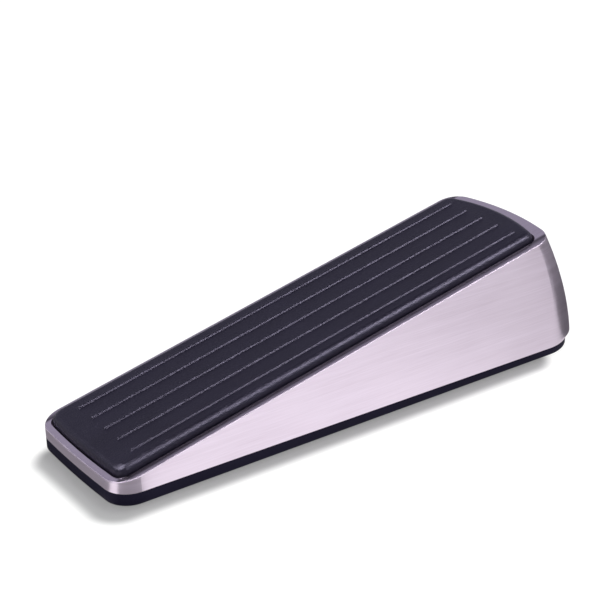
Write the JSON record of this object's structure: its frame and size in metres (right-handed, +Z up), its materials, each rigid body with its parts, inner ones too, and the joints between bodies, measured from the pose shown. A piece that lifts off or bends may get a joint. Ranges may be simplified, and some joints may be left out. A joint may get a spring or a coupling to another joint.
{
  "type": "door wedge",
  "caption": "Free-standing metal door wedge with a ribbed rubber pad let into its sloping top and a rubber sole.",
  "frame": {"origin": "centre of the bounding box's bottom face, on the floor under the sole", "axes": "+X from the thin toe to the tall heel, +Y to the left seen from the toe, +Z up"},
  "size_m": [0.126, 0.0362, 0.0311],
  "materials": {
    "satin_nickel": "brushed lengthwise, satin nickel plate",
    "pad_rubber": "satin",
    "adhesive": "translucent film",
    "plate_steel": "zinc plated",
    "sole_rubber": "matte",
    "screw_steel": "zinc plated"
  },
  "bodies": {
    "root": {"wedge_body": "satin_nickel", "top_grip_pad": "pad_rubber", "pad_adhesive_film": "adhesive", "sole_backing_plate": "plate_steel", "base_sole": "sole_rubber", "sole_screws": "screw_steel"}
  },
  "joints": []
}
